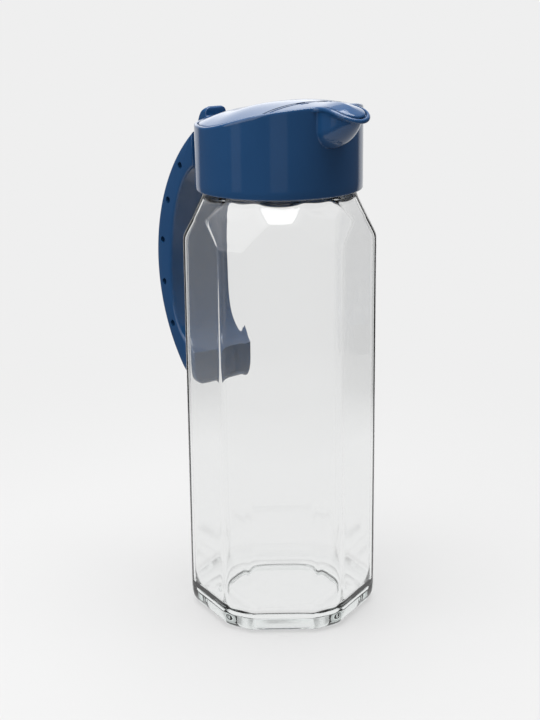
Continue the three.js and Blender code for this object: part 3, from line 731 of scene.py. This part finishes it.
def paper_strength(tree, path, spot, gate, fill):
    """Brightness of the paper: 1 where it is seen, `fill` for light that falls on the jug, and
    darker in reflections of the dark side where `gate` is 1, half as much through the glass."""
    seen = add_node(tree, "ShaderNodeMath", {
        0: path.outputs["Is Camera Ray"], 1: path.outputs["Is Glossy Ray"]}, operation="MAXIMUM")
    seen = add_node(tree, "ShaderNodeMath", {
        0: seen.outputs[0], 1: path.outputs["Is Transmission Ray"]}, operation="MAXIMUM")
    base = add_node(tree, "ShaderNodeMapRange", {"Value": seen.outputs[0], "To Min": fill, "To Max": 1.0})
    level = add_node(tree, "ShaderNodeVectorMath", {0: spot, 1: (1, 1, 0)}, operation="MULTIPLY")
    heading = add_node(tree, "ShaderNodeVectorMath", {0: level.outputs[0]}, operation="NORMALIZE")
    facing = add_node(tree, "ShaderNodeVectorMath", {0: heading.outputs[0], 1: DARK_SIDE},
                      operation="DOT_PRODUCT")
    front = add_node(tree, "ShaderNodeMapRange", {
        "Value": facing.outputs["Value"], "From Min": -0.8, "From Max": -0.7, "To Min": 0.0, "To Max": DARKNESS})
    mirrored = add_node(tree, "ShaderNodeMath", {0: path.outputs["Glossy Depth"], 1: 0.5},
                        operation="GREATER_THAN")
    through = add_node(tree, "ShaderNodeMapRange", {
        "Value": path.outputs["Transmission Depth"], "To Min": 1.0, "To Max": 0.5})
    drop = front.outputs["Result"]
    for share in (gate.outputs["Result"], mirrored.outputs[0], through.outputs["Result"]):
        drop = add_node(tree, "ShaderNodeMath", {0: drop, 1: share}, operation="MULTIPLY").outputs[0]
    left = add_node(tree, "ShaderNodeMath", {0: 1.0, 1: drop}, operation="SUBTRACT")
    return add_node(tree, "ShaderNodeMath", {0: base.outputs["Result"], 1: left.outputs[0]},
                    operation="MULTIPLY").outputs[0]


# The floor takes the shadow near the jug and is even from 0.5 m out. It is dark in
# reflections from 0.42 m out.
paper, tree = new_material("studio_paper")
path = add_node(tree, "ShaderNodeLightPath")
place = add_node(tree, "ShaderNodeTexCoord")
away = add_node(tree, "ShaderNodeVectorMath", {0: place.outputs["Object"]}, operation="LENGTH")
gate = add_node(tree, "ShaderNodeMapRange", {
    "Value": away.outputs["Value"], "From Min": 0.294, "From Max": 0.42})
even = add_node(tree, "ShaderNodeEmission", {
    "Color": PAPER, "Strength": paper_strength(tree, path, place.outputs["Object"], gate, 0.5)})
lit = add_node(tree, "ShaderNodeBsdfDiffuse", {"Color": linear("#C8C8C8")})
near = add_node(tree, "ShaderNodeMapRange", {
    "Value": away.outputs["Value"], "From Min": 0.1, "From Max": 0.5, "To Min": 0.4, "To Max": 0.0},
    interpolation_type="SMOOTHSTEP")
share = add_node(tree, "ShaderNodeMath", {0: path.outputs["Is Camera Ray"], 1: near.outputs["Result"]},
                 operation="MULTIPLY")
look = add_node(tree, "ShaderNodeMixShader", {0: share.outputs[0], 1: even.outputs[0], 2: lit.outputs[0]})
add_node(tree, "ShaderNodeOutputMaterial", {"Surface": look.outputs[0]})
floor.data.materials.append(paper)

# The world is dark in reflections up to about 40 degrees over the floor.
world = bpy.data.worlds.new("studio")
bpy.context.scene.world = world
world.use_nodes = True
tree = world.node_tree
tree.nodes.clear()
path = add_node(tree, "ShaderNodeLightPath")
place = add_node(tree, "ShaderNodeTexCoord")
height = add_node(tree, "ShaderNodeSeparateXYZ", {0: place.outputs["Generated"]})
gate = add_node(tree, "ShaderNodeMapRange", {"Value": height.outputs["Z"], "From Min": 0.7, "From Max": 0.5})
back = add_node(tree, "ShaderNodeBackground", {
    "Color": PAPER, "Strength": paper_strength(tree, path, place.outputs["Generated"], gate, 0.34)})
add_node(tree, "ShaderNodeOutputWorld", {"Surface": back.outputs[0]})


def soft_lamp(name, place, target, size, power):
    """A rectangular lamp, in metres and watts, that the camera doesn't see."""
    light = bpy.data.lights.new(name, "AREA")
    light.shape = "RECTANGLE"
    light.size, light.size_y = size
    light.energy = power
    lamp = bpy.data.objects.new(name, light)
    lamp.location = place
    lamp.rotation_euler = (Vector(target) - Vector(place)).to_track_quat("-Z", "Y").to_euler()
    lamp.visible_camera = lamp.visible_transmission = False
    bpy.context.collection.objects.link(lamp)


soft_lamp("overhead", (0.0, 0.0, 1.4), (0, 0, 0.1), (1.2, 1.2), 28)
soft_lamp("left_front", (-0.05, -1.0, 0.7), (0, 0, 0.15), (1.2, 1.2), 7)
soft_lamp("left_strip", (-0.15, -1.19, 0.3), (0, 0, 0.3), (0.3, 0.6), 0.15)
soft_lamp("front_strip", (0.94, -0.75, 0.3), (0, 0, 0.3), (0.48, 0.6), 0.2)
soft_lamp("behind", (-1.0, 0.8, 0.7), (0, 0, 0.2), (1.4, 0.8), 2.8)

CAMERA_PLACE, CAMERA_ROLL = (0.5534, -0.4392, 0.331), -0.01075
camera = bpy.data.cameras.new("camera")
camera.lens = 72.5
camera.sensor_width = 36
camera.clip_start = 0.01
view = bpy.data.objects.new("camera", camera)
forward = Vector((-0.758, 0.592, -0.2735)).normalized()
right = Vector((0.6157, 0.788, 0)).normalized()
up = right.cross(forward)
across = right * math.cos(CAMERA_ROLL) + up * math.sin(CAMERA_ROLL)
upright = up * math.cos(CAMERA_ROLL) - right * math.sin(CAMERA_ROLL)
axes = Matrix((across, upright, -forward)).transposed().to_4x4()
view.matrix_world = Matrix.Translation(CAMERA_PLACE) @ axes
bpy.context.collection.objects.link(view)
bpy.context.scene.camera = view
bpy.context.scene.view_settings.view_transform = "Standard"
